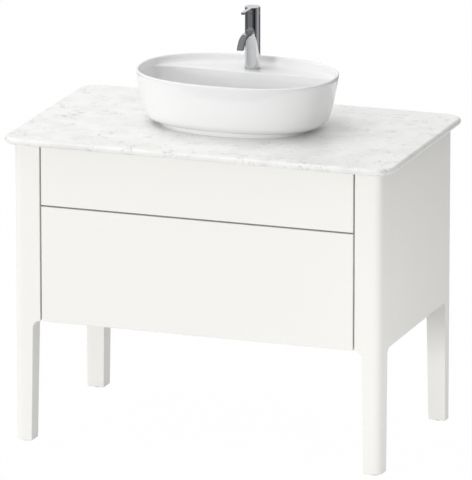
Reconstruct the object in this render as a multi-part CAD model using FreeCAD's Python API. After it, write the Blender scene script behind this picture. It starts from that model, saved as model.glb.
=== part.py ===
import FreeCAD, Part
import math
import os

from FreeCAD import Vector

# Floor-standing vanity unit: a post-and-panel cabinet with two inset drawers, a stone top,
# a vessel basin with its waste and trap, and a single-lever mixer.
# Millimetres. X runs across the unit, the front faces -Y and Z is up from the floor.
# The origin lies on the floor under the centre of the stone top.

# Cabinet
cabinet_width = 938.0
cabinet_depth = 545.0
body_underside = 307.0
panel_thickness = 19.0

# Corner posts: square above, tapering legs below
post_side = 68.0
leg_head = 49.0
leg_foot = 44.0
corner_radius = 22.0
post_edge_round = 1.5

# Glides pressed into the legs
glide_radius = 13.0
glide_height = 3.0
glide_stem_radius = 4.0
glide_stem_length = 20.0

# Rails and bottom panel
rear_rail_height = 80.0
front_rail_depth = 60.0
bottom_thickness = 16.0
rail_setback = 5.0

# Dowels that join panels and rails to the posts
dowel_radius = 4.0
dowel_length = 40.0
dowel_end_room = 1.0
dowel_margin = 60.0
rail_dowel_margin = 16.0

# Spacers between the rear rail and the wall
spacer_radius = 15.0
wall_screw_radius = 4.5
wall_screw_spacing = 600.0

# Stone top
top_overhang = 25.0
stone_thickness = 16.0
stone_corner_radius = 47.0
stone_edge_share = 0.4375

# Drawer fronts
front_gap = 4.0
front_thickness = 19.0
front_edge_round = 1.5
lower_front_height = 287.0
upper_front_height = 145.0

# Drawer boxes
box_wall = 15.0
box_floor = 10.0
upper_box_lift = 14.0
upper_box_room = 26.0
lower_box_lift = 28.0
lower_box_room = 69.0
recess_half_width = 95.0
recess_wall = 12.0
recess_reach = 68.0

# Screws that hold a front on its box
screw_radius = 2.0
screw_length = 27.0
screw_head_radius = 4.0
screw_head_height = 2.5
screw_margin = 90.0
screw_edge = 22.0

# Telescopic runners
runner_height = 45.0
runner_width = 12.7
runner_sheet = 1.2
runner_play = 0.4
runner_lift = 45.0
runner_setback = 6.0
runner_rear_room = 21.0
runner_tail = 16.0

# Basin, with places along its depth given as shares of it
basin_width = 500.0
basin_depth = 350.0
basin_height = 132.0
basin_setback = 24.0
oval_power = 2.31
oval_points = 40
wall_sections = 4
wall_inset_half = 10.6
wall_inset_foot = 35.0
rim_wall = 7.0
rim_round = 2.5
foot_height = 8.0
foot_inset = 44.0
foot_width = 10.0
foot_round = 8.0
seal_thickness = 1.0
floor_thickness = 12.0
floor_round = 26.0
ledge_drop = 18.0
ledge_thickness = 12.0
ledge_edge_share = 0.19429
ledge_edge_round = 4.0
ledge_root = 4.0
corner_run = 2.0
bowl_rear_lean = 20.0
bowl_corner_power = 8.0
tap_share = 0.31857
tap_hole_radius = 17.5
hose_share = 0.28
hose_hole_radius = 20.0

# Waste
drain_share = 0.10286
drain_room = 2.0
waste_tube_radius = 21.0
waste_wall = 3.0
waste_drop = 55.0
flange_radius = 32.0
flange_thickness = 3.0
flange_seal_thickness = 2.0
flange_room = 1.0
cover_radius = 29.0
cover_thickness = 4.0
cover_gap = 5.0
cover_stem_radius = 3.0
cover_dome = 2.5
bridge_depth = 6.0
bridge_width = 6.0
nut_seal_thickness = 3.0
lock_nut_flats = 62.0
lock_nut_height = 12.0

# Trap
pipe_radius = 16.0
pipe_wall = 2.0
pipe_collar_room = 0.5
pipe_collar = 4.0
dip_length = 112.0
union_wall = 6.0
union_lip = 6.0
union_grip = 12.0
head_radius = 31.0
head_wall = 4.0
head_height = 58.0
head_drop = 34.0
outlet_drop = 22.0
spigot_radius = 20.0
spigot_length = 30.0
pipe_insertion = 24.0
cup_depth = 48.0
cup_collar = 14.0
cup_collar_wall = 4.0

# Mixer
mixer_radius = 19.2
mixer_joint_height = 138.5
base_ring_step = 1.0
base_ring_wall = 4.0
base_ring_thickness = 2.0
spout_width = 17.0
spout_thickness = 12.0
spout_height = 97.0
spout_reach = 95.5
spout_bend = 48.0
spout_mouth = 63.0
spout_edge_round = 4.0
spout_mouth_round = 1.0
spout_root_round = 8.0
aerator_wall = 2.5
aerator_height = 6.0
aerator_hole_radius = 1.1
aerator_hole_pitch = 3.4
inlet_radius = 4.5
inlet_depth = 14.0
inlet_spacing = 16.0
inlet_offset = 5.0
stud_radius = 4.0
stud_length = 62.0
stud_engagement = 14.0
stud_offset = 9.0
clamp_radius = 24.0
clamp_thickness = 4.0
clamp_slot = 27.0
clamp_nut_flats = 13.0
clamp_nut_height = 8.0

# Mixer cartridge and lever
cartridge_radius = 13.8
cartridge_height = 36.0
cartridge_room = 0.2
ring_height = 4.5
ring_recess = 1.5
ring_bore_radius = 9.7
rotor_radius = 9.2
rotor_height = 11.5
rotor_recess = 1.0
rotor_slot_length = 15.0
rotor_slot_depth = 9.0
pin_radius = 1.5
pin_length = 17.0
pin_depth = 4.0
spindle_side = 7.0
spindle_tail = 4.0
spindle_rise = 12.8
lever_cap_height = 14.8
lever_gap = 0.8
lever_reach = 74.0
lever_width = 10.0
lever_thickness = 5.0
lever_edge_round = 1.0
lever_lift = 24.0
lever_bevel_margin = 1.5
grub_radius = 1.5
grub_length = 8.0
grub_height = 11.4

# Clearances
press_clearance = 0.05
running_clearance = 0.05
slide_clearance = 0.2
thread_clearance = 0.1

# Levels and places that follow from the sizes above
half_width = cabinet_width / 2
half_depth = cabinet_depth / 2
upper_front_low = body_underside + lower_front_height + front_gap
carcass_height = upper_front_low + upper_front_height + front_gap
opening_half = half_width - post_side
stone_top_level = carcass_height + stone_thickness
foot_level = stone_top_level + seal_thickness
basin_underside = foot_level + foot_height
rim_level = foot_level + basin_height
ledge_level = rim_level - ledge_drop
bowl_floor = basin_underside + floor_thickness
ledge_edge = basin_depth * ledge_edge_share
drain_y = basin_setback - basin_depth * drain_share
tap_y = basin_setback + basin_depth * tap_share
hoses_y = basin_setback + basin_depth * hose_share
wall_y = half_depth + top_overhang
front_face = -half_depth
front_back = front_face + front_thickness
runner_start = front_back + runner_setback
runner_end = half_depth - panel_thickness - runner_rear_room
box_rear = runner_end - runner_tail
box_half_width = opening_half - runner_width
upper_box_low = upper_front_low + upper_box_lift
upper_box_height = carcass_height - panel_thickness - upper_box_room - upper_box_low
lower_box_low = body_underside + lower_box_lift
lower_box_height = lower_front_height - lower_box_lift - lower_box_room
drain_hole_radius = waste_tube_radius + drain_room
pipe_collar_radius = waste_tube_radius - pipe_collar_room
union_radius = waste_tube_radius + union_wall
base_ring_radius = mixer_radius + base_ring_step
aerator_width = spout_width - 2 * aerator_wall
aerator_depth = spout_thickness - 2 * aerator_wall
waste_end = carcass_height - waste_drop
lever_joint = ledge_level + mixer_joint_height
pivot_level = lever_joint - pin_depth

X_AXIS = Vector(1, 0, 0)
Y_AXIS = Vector(0, 1, 0)
Z_AXIS = Vector(0, 0, 1)


def box(x0, x1, y0, y1, z0, z1):
    """Block between two corners."""
    return Part.makeBox(x1 - x0, y1 - y0, z1 - z0, Vector(x0, y0, z0))


def rod(radius, start, axis, length):
    """Round bar from a point along an axis."""
    return Part.makeCylinder(radius, length, start, axis)


def tube(outer, inner, start, axis, length):
    """Round tube from a point along an axis."""
    return rod(outer, start, axis, length).cut(rod(inner, start, axis, length))


def hexagon(flats, z, height, centre):
    """Upright hexagonal block measured across its flats."""
    corner = flats / math.sqrt(3)
    angles = [math.radians(60 * step) for step in range(7)]
    points = [centre + Vector(corner * math.cos(a), corner * math.sin(a), z) for a in angles]
    return Part.Face(Part.makePolygon(points)).extrude(Z_AXIS * height)


def profile_in_yz(edges, x, width):
    """Solid from a closed outline of edges in the YZ plane, moved to x and extruded by width."""
    face = Part.Face(Part.Wire(edges))
    face.translate(Vector(x, 0, 0))
    return face.extrude(X_AXIS * width)


def left_of(shape):
    """Mirror image on the other side of the unit."""
    return shape.mirror(Vector(), X_AXIS)


def rear_of(shape):
    """Mirror image at the other end of the cabinet's depth."""
    return shape.mirror(Vector(), Y_AXIS)


def edges_where(shape, test):
    """Edges of a shape whose bounding box passes a test."""
    return [edge for edge in shape.Edges if test(edge.BoundBox)]


def near(value, target):
    """True where two lengths agree within a hundredth of a millimetre."""
    return abs(value - target) < 0.01


# Cabinet

def post_profile(side):
    """Outline of a post seen from one side: straight outside, leg with a hollow curve inside."""
    crotch = post_side - leg_head
    top = carcass_height
    curve_start = Vector(0, side * leg_head, body_underside - crotch)
    curve_end = Vector(0, side * post_side, body_underside)
    sweep = crotch * (1 - math.sqrt(0.5))
    curve_middle = Vector(0, side * (leg_head + sweep), body_underside - sweep)
    outer_foot = Vector(0, 0, glide_height)
    inner_foot = Vector(0, side * leg_foot, glide_height)
    inner_top = Vector(0, side * post_side, top)
    outer_top = Vector(0, 0, top)
    return [
        Part.makeLine(outer_foot, inner_foot),
        Part.makeLine(inner_foot, curve_start),
        Part.Arc(curve_start, curve_middle, curve_end).toShape(),
        Part.makeLine(curve_end, inner_top),
        Part.makeLine(inner_top, outer_top),
        Part.makeLine(outer_top, outer_foot),
    ]


def front_right_post():
    """Post with its leg, at the front right corner, drilled for its dowels and its glide."""
    seen_from_side = profile_in_yz(post_profile(1), -post_side, post_side)
    seen_from_front = profile_in_yz(post_profile(1), -post_side, post_side)
    seen_from_front.rotate(Vector(), Z_AXIS, 90)
    seen_from_front.translate(Vector(0, post_side, 0))
    post = seen_from_side.common(seen_from_front)
    outer = edges_where(post, lambda b: near(b.XMin, 0) and near(b.YMax, 0) and b.ZLength > leg_head)
    post = post.makeFillet(corner_radius, outer)
    whole = carcass_height - glide_height
    sharp = edges_where(post, lambda b: not near(b.ZMin, carcass_height) and not near(b.ZLength, whole))
    post = post.makeFillet(post_edge_round, sharp)
    post.translate(Vector(half_width, front_face, 0))
    stem_hole = rod(
        glide_stem_radius + press_clearance, glide_centre(1, -1) + Z_AXIS * glide_height,
        Z_AXIS, glide_stem_length
    )
    return drilled(post.cut(stem_hole))


def glide_centre(side_x, side_y):
    """Point on the floor under the middle of a leg."""
    return Vector(side_x * (half_width - leg_foot / 2), side_y * (half_depth - leg_foot / 2), 0)


def leg_glides():
    """Four glides, each a disc on the floor with a stem pressed into its leg."""
    glides = []
    for side_x in (-1, 1):
        for side_y in (-1, 1):
            centre = glide_centre(side_x, side_y)
            disc = rod(glide_radius, centre, Z_AXIS, glide_height)
            stem = rod(glide_stem_radius, centre + Z_AXIS * glide_height, Z_AXIS, glide_stem_length)
            glides.append(disc.fuse(stem).removeSplitter())
    return Part.makeCompound(glides)


def right_side_panel():
    """Side panel between the right-hand posts, flush with their outer faces."""
    length = half_depth - post_side
    panel = box(half_width - panel_thickness, half_width, -length, length, body_underside, carcass_height)
    return drilled(panel)


def bottom_panel():
    """Cabinet bottom, notched round the four posts."""
    top = body_underside + bottom_thickness
    front = front_back + rail_setback
    rear = half_depth - panel_thickness
    inner = box(-opening_half, opening_half, front, rear, body_underside, top)
    reach = half_width - panel_thickness
    length = half_depth - post_side
    return inner.fuse(box(-reach, reach, -length, length, body_underside, top)).removeSplitter()


def front_top_rail():
    """Flat rail behind the upper front that ties the front posts and carries the stone."""
    front = front_back + rail_setback
    floor = carcass_height - panel_thickness
    return drilled(box(-opening_half, opening_half, front, front + front_rail_depth, floor, carcass_height))


def rear_rail(floor):
    """Upright rail between the rear posts, flush with their rear faces."""
    front = half_depth - panel_thickness
    return drilled(box(-opening_half, opening_half, front, half_depth, floor, floor + rear_rail_height))


def rear_top_rail():
    """Upper rear rail with two holes for the wall screws."""
    rail = rear_rail(carcass_height - rear_rail_height)
    for point in wall_screw_points():
        rail = rail.cut(rod(wall_screw_radius, point - Y_AXIS * panel_thickness, Y_AXIS, panel_thickness))
    return rail


def rear_bottom_rail():
    """Lower rear rail on the bottom panel's level."""
    return rear_rail(body_underside)


def wall_screw_points():
    """Points on the rear rail's rear face where the wall screws pass."""
    height = carcass_height - rear_rail_height / 2
    return [Vector(side * wall_screw_spacing / 2, half_depth, height) for side in (-1, 1)]


def wall_spacers():
    """Sleeves that fill the stone's rear overhang between the rear rail and the wall."""
    return Part.makeCompound(
        [tube(spacer_radius, wall_screw_radius, point, Y_AXIS, top_overhang) for point in wall_screw_points()]
    )


def dowel_places():
    """Middle point and axis of every dowel."""
    places = []
    panel_middle = half_width - panel_thickness / 2
    panel_end = half_depth - post_side
    body_middle = (body_underside + carcass_height) / 2
    heights = (body_underside + dowel_margin, body_middle, carcass_height - dowel_margin)
    front_rail = front_back + rail_setback
    rail_rows = (front_rail + rail_dowel_margin, front_rail + front_rail_depth - rail_dowel_margin)
    rear_middle = half_depth - panel_thickness / 2
    rear_floors = (body_underside, carcass_height - rear_rail_height)
    for side_x in (-1, 1):
        for side_y in (-1, 1):
            for height in heights:
                places.append((Vector(side_x * panel_middle, side_y * panel_end, height), Y_AXIS))
        for row in rail_rows:
            places.append((Vector(side_x * opening_half, row, carcass_height - panel_thickness / 2), X_AXIS))
        for floor in rear_floors:
            for height in (floor + rail_dowel_margin, floor + rear_rail_height - rail_dowel_margin):
                places.append((Vector(side_x * opening_half, rear_middle, height), X_AXIS))
    return places


def frame_dowels():
    """All glued dowels of the cabinet frame."""
    half = dowel_length / 2
    dowels = [rod(dowel_radius, middle - axis * half, axis, dowel_length) for middle, axis in dowel_places()]
    return Part.makeCompound(dowels)


def drilled(shape):
    """Shape with its dowel holes."""
    depth = dowel_length / 2 + dowel_end_room
    radius = dowel_radius + press_clearance
    holes = [rod(radius, middle - axis * depth, axis, 2 * depth) for middle, axis in dowel_places()]
    return shape.cut(Part.makeCompound(holes))


def stone_top():
    """Stone slab with rounded corners and edges, and holes for the waste and the hoses."""
    half_x = half_width + top_overhang
    slab = box(-half_x, half_x, -wall_y, wall_y, carcass_height, stone_top_level)
    slab = slab.makeFillet(stone_corner_radius, edges_where(slab, lambda b: near(b.ZLength, stone_thickness)))
    level_edges = edges_where(slab, lambda b: near(b.ZLength, 0))
    slab = slab.makeFillet(stone_thickness * stone_edge_share, level_edges)
    drain = rod(drain_hole_radius, Vector(0, drain_y, carcass_height), Z_AXIS, stone_thickness)
    hoses = rod(hose_hole_radius, Vector(0, hoses_y, carcass_height), Z_AXIS, stone_thickness)
    return slab.cut(drain).cut(hoses)


# Drawers

def drawer_front(floor, top):
    """Inset drawer front with softened face edges."""
    half = opening_half - front_gap
    front = box(-half, half, front_face, front_back, floor, top)
    return front.makeFillet(front_edge_round, edges_where(front, lambda b: near(b.YMax, front_face)))


def screw_points(box_low, box_height):
    """Points on the inner face of a sub-front where its screws sit."""
    inner = front_back + box_wall
    reach = box_half_width - screw_margin
    heights = (box_low + screw_edge, box_low + box_height - screw_edge)
    return [Vector(side * reach, inner, height) for side in (-1, 1) for height in heights]


def front_screws(box_low, box_height):
    """Four screws from inside a drawer box into its front."""
    screws = []
    for point in screw_points(box_low, box_height):
        head = rod(screw_head_radius, point, Y_AXIS, screw_head_height)
        shank = rod(screw_radius, point, -Y_AXIS, screw_length)
        screws.append(head.fuse(shank).removeSplitter())
    return Part.makeCompound(screws)


def screw_drilled(shape, box_low, box_height):
    """Front or sub-front with its screw holes."""
    radius = screw_radius + press_clearance
    points = screw_points(box_low, box_height)
    return shape.cut(Part.makeCompound([rod(radius, point, -Y_AXIS, screw_length) for point in points]))


def sub_front(box_low, box_height):
    """Inner front of a drawer box, between the box sides."""
    inner_half = box_half_width - box_wall
    board = box(-inner_half, inner_half, front_back, front_back + box_wall, box_low, box_low + box_height)
    return screw_drilled(board, box_low, box_height)


def right_box_side(box_low, box_height):
    """Right side of a drawer box."""
    inner = box_half_width - box_wall
    return box(inner, box_half_width, front_back, box_rear, box_low, box_low + box_height)


def recess_front_face():
    """Rear face of the recess's front wall, ahead of the trap."""
    return drain_y - recess_reach


def upper_right_back():
    """Right half of the upper drawer's back, beside the recess."""
    low = upper_box_low
    start = recess_half_width + recess_wall
    return box(start, box_half_width - box_wall, box_rear - box_wall, box_rear, low, low + upper_box_height)


def upper_right_recess_side():
    """Right wall of the trap recess in the upper drawer."""
    low = upper_box_low
    outer = recess_half_width + recess_wall
    return box(recess_half_width, outer, recess_front_face(), box_rear, low, low + upper_box_height)


def upper_recess_front():
    """Front wall of the trap recess in the upper drawer."""
    low = upper_box_low
    outer = recess_half_width + recess_wall
    face = recess_front_face()
    return box(-outer, outer, face - recess_wall, face, low, low + upper_box_height)


def upper_bottom():
    """U-shaped bottom of the upper drawer."""
    low = upper_box_low
    inner = box_half_width - box_wall
    board = box(-inner, inner, front_back + box_wall, box_rear - box_wall, low, low + box_floor)
    outer = recess_half_width + recess_wall
    return board.cut(box(-outer, outer, recess_front_face() - recess_wall, box_rear, low, low + box_floor))


def lower_back():
    """Back of the lower drawer."""
    low = lower_box_low
    inner = box_half_width - box_wall
    return box(-inner, inner, box_rear - box_wall, box_rear, low, low + lower_box_height)


def lower_bottom():
    """Bottom of the lower drawer."""
    low = lower_box_low
    inner = box_half_width - box_wall
    return box(-inner, inner, front_back + box_wall, box_rear - box_wall, low, low + box_floor)


# Runners

def channel(x_web, x_lip, half_height, level):
    """Right-hand channel with its web at one x and its two flanges reaching to another x."""
    toward = 1 if x_lip > x_web else -1
    low_x = min(x_web, x_lip)
    high_x = max(x_web, x_lip)
    body = box(low_x, high_x, runner_start, runner_end, level - half_height, level + half_height)
    inner = half_height - runner_sheet
    cut_low = low_x + runner_sheet if toward > 0 else low_x
    cut_high = high_x if toward > 0 else high_x - runner_sheet
    return body.cut(box(cut_low, cut_high, runner_start, runner_end, level - inner, level + inner))


def runner_pair(member, box_low):
    """Left and right runner members of one kind for a drawer box."""
    right = member(box_low + runner_lift)
    return Part.makeCompound([right, left_of(right)])


def cabinet_member(level):
    """Outer channel screwed to the posts."""
    return channel(opening_half, box_half_width + 2 * runner_play, runner_height / 2, level)


def middle_member(level):
    """Middle channel that runs between the other two."""
    web = opening_half - runner_sheet - runner_play
    lip = box_half_width + runner_sheet + runner_play
    return channel(web, lip, runner_height / 2 - runner_sheet - runner_play, level)


def drawer_member(level):
    """Inner channel screwed to the drawer side."""
    lip = opening_half - 2 * (runner_sheet + runner_play)
    return channel(box_half_width, lip, runner_height / 2 - 2 * (runner_sheet + runner_play), level)


# Basin

def wall_inset(level):
    """How far the basin's outside is drawn in from the rim's outline at a level."""
    depth = (rim_level - level) / (rim_level - basin_underside)
    lean = 4 * wall_inset_half - wall_inset_foot
    bow = wall_inset_foot - lean
    return lean * depth + bow * depth * depth


def oval_wire(inset, level, rear=None):
    """Closed oval curve at a level, drawn in by an inset, and cut soft and straight at the rear if asked."""
    half_x = basin_width / 2 - inset
    half_y = basin_depth / 2 - inset
    points = []
    for step in range(oval_points):
        angle = 2 * math.pi * step / oval_points
        across = math.cos(angle)
        along = math.sin(angle)
        size = (abs(across) ** oval_power + abs(along) ** oval_power) ** (1 / oval_power)
        if rear is not None:
            cut = max(along, 0) * half_y / rear
            size = (size ** bowl_corner_power + cut ** bowl_corner_power) ** (1 / bowl_corner_power)
        points.append(Vector(half_x * across / size, basin_setback + half_y * along / size, level))
    curve = Part.BSplineCurve()
    curve.interpolate(Points=points, PeriodicFlag=True)
    return Part.Wire(curve.toShape())


def oval_plate(inset, low, high):
    """Upright oval block."""
    return Part.Face(oval_wire(inset, low)).extrude(Z_AXIS * (high - low))


def oval_loft(inset_at, low, high):
    """Solid between two levels whose oval outline follows an inset that varies with the level."""
    levels = [low + (high - low) * step / (wall_sections - 1) for step in range(wall_sections)]
    return Part.makeLoft([oval_wire(inset_at(level), level) for level in levels], True, False)


def foot_ring(low, high):
    """Oval ring with the outline of the basin's foot."""
    return oval_plate(foot_inset, low, high).cut(oval_plate(foot_inset + foot_width, low, high))


def basin_outside():
    """Outer form of the basin, rounded under."""
    form = oval_loft(wall_inset, basin_underside, rim_level)
    return form.makeFillet(foot_round, edges_where(form, lambda b: near(b.ZMax, basin_underside)))


def bowl_space():
    """Space inside the basin's walls from the rim to the rounded floor."""
    form = oval_loft(lambda level: wall_inset(level) + rim_wall, bowl_floor, rim_level)
    return form.makeFillet(floor_round, edges_where(form, lambda b: near(b.ZMax, bowl_floor)))


def ledge_front(level):
    """How far behind the basin's centre the leaning front of the tap ledge lies at a level."""
    return ledge_edge - bowl_rear_lean * (ledge_level - level) / (ledge_level - bowl_floor)


def ledge_front_line():
    """Levels and places of the ledge's front, hollow at the bowl's floor and rounded at its upper edge."""
    root = bowl_floor - ledge_root
    line = [(root, ledge_front(bowl_floor) - floor_round)]
    turns = [math.pi / 2 * step / wall_sections for step in range(wall_sections + 1)]
    for turn in turns:
        level = bowl_floor + floor_round * (1 - math.cos(turn))
        line.append((level, ledge_front(level) - floor_round * (1 - math.sin(turn))))
    for turn in turns:
        level = ledge_level - ledge_edge_round * (1 - math.sin(turn))
        line.append((level, ledge_front(level) + ledge_edge_round * (1 - math.cos(turn))))
    return line


def ledge_block():
    """Solid rear part of the bowl up to the tap ledge, rooted in the walls and the floor."""
    block = oval_loft(lambda level: wall_inset(level) + rim_wall / 2, bowl_floor - ledge_root, ledge_level)
    front = [oval_wire(wall_inset(level) - corner_run, level, rear) for level, rear in ledge_front_line()]
    return block.cut(Part.makeLoft(front, True, False))


def ledge_hollow():
    """Open space under the tap ledge, reached from below."""
    top = ledge_level - ledge_thickness
    low_wire = oval_wire(foot_inset + foot_width, basin_underside)
    top_wire = oval_wire(wall_inset(top) + rim_wall, top)
    space = Part.makeLoft([low_wire, top_wire], True, True)
    start = basin_setback + ledge_edge + rim_wall
    return space.common(box(-basin_width, basin_width, start, start + basin_depth, basin_underside, top))


def basin():
    """Vessel basin with its bowl, tap ledge, foot ring, waste hole and tap hole."""
    form = basin_outside().cut(bowl_space().cut(ledge_block()))
    form = form.makeFillet(rim_round, edges_where(form, lambda b: near(b.ZMin, rim_level)))
    form = form.cut(ledge_hollow()).fuse(foot_ring(foot_level, basin_underside))
    recess_depth = flange_thickness + flange_seal_thickness
    seat_point = Vector(0, drain_y, bowl_floor - recess_depth)
    seat = rod(flange_radius + flange_room, seat_point, Z_AXIS, recess_depth)
    drain = rod(drain_hole_radius, Vector(0, drain_y, basin_underside), Z_AXIS, floor_thickness)
    tap = rod(tap_hole_radius, Vector(0, tap_y, ledge_level - ledge_thickness), Z_AXIS, ledge_thickness)
    return form.cut(seat).cut(drain).cut(tap)


def basin_seal():
    """Sealing bed between the basin's foot and the stone."""
    return foot_ring(stone_top_level, foot_level)


# Waste and trap

def drain_point(level):
    """Point on the waste's axis."""
    return Vector(0, drain_y, level)


def waste_body():
    """Flanged waste with its threaded tube and a bridge that holds the cover."""
    flange_low = bowl_floor - flange_thickness
    flange = rod(flange_radius, drain_point(flange_low), Z_AXIS, flange_thickness)
    shaft = rod(waste_tube_radius, drain_point(waste_end), Z_AXIS, flange_low - waste_end)
    inner = waste_tube_radius - waste_wall
    body = flange.fuse(shaft).cut(rod(inner, drain_point(waste_end), Z_AXIS, bowl_floor - waste_end))
    bridge_low = flange_low - bridge_depth
    half = bridge_width / 2
    reach = inner + waste_wall / 2
    bridge = box(-reach, reach, drain_y - half, drain_y + half, bridge_low, flange_low)
    hub = rod(cover_stem_radius + bridge_width / 2, drain_point(bridge_low), Z_AXIS, bridge_depth)
    stem_hole = rod(cover_stem_radius + press_clearance, drain_point(bridge_low), Z_AXIS, bridge_depth)
    return body.fuse(bridge).fuse(hub).cut(stem_hole).removeSplitter()


def waste_cover():
    """Domed cover on a stem pressed into the waste's bridge."""
    low = bowl_floor + cover_gap
    sphere_radius = (cover_radius ** 2 + cover_dome ** 2) / (2 * cover_dome)
    top = low + cover_thickness
    disc = rod(cover_radius, drain_point(low), Z_AXIS, cover_thickness)
    dome = disc.common(Part.makeSphere(sphere_radius, drain_point(top - sphere_radius)))
    bridge_low = bowl_floor - flange_thickness - bridge_depth
    stem = rod(cover_stem_radius, drain_point(bridge_low), Z_AXIS, low - bridge_low)
    return dome.fuse(stem).removeSplitter()


def waste_seals():
    """Rubber rings under the flange and under the stone."""
    bore = waste_tube_radius + slide_clearance
    flange_seal_low = bowl_floor - flange_thickness - flange_seal_thickness
    upper = tube(flange_radius, bore, drain_point(flange_seal_low), Z_AXIS, flange_seal_thickness)
    lower_low = carcass_height - nut_seal_thickness
    lower = tube(lock_nut_flats / 2, bore, drain_point(lower_low), Z_AXIS, nut_seal_thickness)
    return Part.makeCompound([upper, lower])


def waste_lock_nut():
    """Hexagonal nut that clamps the basin and waste to the stone."""
    low = carcass_height - nut_seal_thickness - lock_nut_height
    nut = hexagon(lock_nut_flats, low, lock_nut_height, drain_point(0))
    return nut.cut(rod(waste_tube_radius + thread_clearance, drain_point(low), Z_AXIS, lock_nut_height))


def trap_dip_tube():
    """Pipe from the waste down into the trap, with a collar under the waste's end."""
    collar_low = waste_end - pipe_collar
    end = waste_end - dip_length
    collar = rod(pipe_collar_radius, drain_point(collar_low), Z_AXIS, pipe_collar)
    pipe = rod(pipe_radius, drain_point(end), Z_AXIS, dip_length)
    return collar.fuse(pipe).cut(rod(pipe_radius - pipe_wall, drain_point(end), Z_AXIS, dip_length))


def union_nut(start, axis, thread_radius, grip, collar):
    """Ribless union nut: a lip under the pipe's collar and a wider threaded mouth."""
    body = rod(union_radius, start, axis, union_lip + collar + grip)
    bore = rod(pipe_radius + slide_clearance, start, axis, union_lip)
    mouth = rod(thread_radius + thread_clearance, start + axis * union_lip, axis, collar + grip)
    return body.cut(bore).cut(mouth)


def trap_union_nuts():
    """Union nuts at the trap's inlet and outlet."""
    inlet_start = drain_point(waste_end - pipe_collar - union_lip)
    inlet = union_nut(inlet_start, Z_AXIS, waste_tube_radius, union_grip, pipe_collar)
    outlet_start = Vector(0, spigot_end() + union_lip, outlet_level())
    outlet = union_nut(outlet_start, -Y_AXIS, spigot_radius, union_grip, 0)
    return Part.makeCompound([inlet, outlet])


def head_top():
    """Top of the trap's head."""
    return waste_end - head_drop


def head_bottom():
    """Lower edge of the trap's head, where the cup meets it."""
    return head_top() - head_height


def outlet_level():
    """Height of the outlet's axis."""
    return head_top() - outlet_drop


def spigot_end():
    """Rear end of the trap's outlet spigot."""
    return drain_y + head_radius + spigot_length


def trap_head():
    """Head of the bottle trap with its outlet spigot."""
    inner = head_radius - head_wall
    outlet = Vector(0, drain_y, outlet_level())
    body = rod(head_radius, drain_point(head_bottom()), Z_AXIS, head_height)
    body = body.fuse(rod(spigot_radius, outlet, Y_AXIS, head_radius + spigot_length))
    body = body.cut(rod(inner, drain_point(head_bottom()), Z_AXIS, head_height - head_wall))
    neck = drain_point(head_top() - head_wall)
    body = body.cut(rod(pipe_radius + thread_clearance, neck, Z_AXIS, head_wall))
    return body.cut(rod(pipe_radius + thread_clearance, outlet, Y_AXIS, head_radius + spigot_length))


def trap_cup():
    """Screw-on cup under the trap's head."""
    bottom = head_bottom() - cup_depth
    inner = head_radius - head_wall
    collar_radius = head_radius + thread_clearance + cup_collar_wall
    cup = rod(head_radius, drain_point(bottom), Z_AXIS, cup_depth)
    cup = cup.makeFillet(2 * head_wall, edges_where(cup, lambda b: near(b.ZMax, bottom)))
    cup = cup.fuse(rod(collar_radius, drain_point(head_bottom() - head_wall), Z_AXIS, head_wall + cup_collar))
    cup = cup.cut(rod(inner, drain_point(bottom + head_wall), Z_AXIS, cup_depth - head_wall))
    return cup.cut(rod(head_radius + thread_clearance, drain_point(head_bottom()), Z_AXIS, cup_collar))


def trap_outlet_pipe():
    """Outlet pipe from the trap's spigot to the wall."""
    start = Vector(0, spigot_end() - pipe_insertion, outlet_level())
    return tube(pipe_radius, pipe_radius - pipe_wall, start, Y_AXIS, wall_y - start.y)


# Mixer

def tap_point(level):
    """Point on the mixer's axis."""
    return Vector(0, tap_y, level)


def bend_centre():
    """Centre of the spout's bend, placed so that the mouth's front edge ends at the spout's reach."""
    rise = spout_mouth - (spout_height - spout_bend)
    lean = math.sqrt(spout_bend ** 2 - rise ** 2)
    return Vector(0, tap_y - spout_reach + lean, ledge_level + spout_height - spout_bend)


def on_bend(radius, level):
    """Point on an arc round the bend's centre, in front of it at a level."""
    centre = bend_centre()
    return Vector(0, centre.y - math.sqrt(radius ** 2 - (level - centre.z) ** 2), level)


def bend_arc(radius, low):
    """Arc of the bend from a point on it up to the level run."""
    centre = bend_centre()
    half_turn = (math.pi / 2 + math.atan2(low.z - centre.z, centre.y - low.y)) / 2
    middle = centre + Vector(0, -math.cos(half_turn), math.sin(half_turn)) * radius
    return Part.Arc(low, middle, centre + Z_AXIS * radius).toShape()


def spout_outline():
    """Side view of the flat spout: level run and a wide bend down to the level mouth."""
    mouth = ledge_level + spout_mouth
    inner_bend = spout_bend - spout_thickness
    centre = bend_centre()
    front_low = on_bend(spout_bend, mouth)
    rear_low = on_bend(inner_bend, mouth)
    root_top = Vector(0, tap_y, centre.z + spout_bend)
    root_low = Vector(0, tap_y, centre.z + inner_bend)
    return [
        Part.makeLine(root_top, centre + Z_AXIS * spout_bend),
        bend_arc(spout_bend, front_low),
        Part.makeLine(front_low, rear_low),
        bend_arc(inner_bend, rear_low),
        Part.makeLine(centre + Z_AXIS * inner_bend, root_low),
        Part.makeLine(root_low, root_top),
    ]


def mixer_spout():
    """Flat spout with softened long edges and a lightly broken mouth."""
    half = spout_width / 2
    mouth = ledge_level + spout_mouth
    spout = profile_in_yz(spout_outline(), -half, spout_width)
    long_edges = edges_where(
        spout, lambda b: near(b.XLength, 0) and b.ZMax > mouth + 0.01 and b.YMin < tap_y - 0.01
    )
    spout = spout.makeFillet(spout_edge_round, long_edges)
    return spout.makeFillet(spout_mouth_round, edges_where(spout, lambda b: near(b.ZMax, mouth)))


def mouth_centre():
    """Middle of the aerator's seat at the level of the spout's mouth."""
    mouth = ledge_level + spout_mouth
    seat = mouth + aerator_height / 2
    front = on_bend(spout_bend, seat)
    rear = on_bend(spout_bend - spout_thickness, seat)
    return Vector(0, (front.y + rear.y) / 2, mouth)


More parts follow.
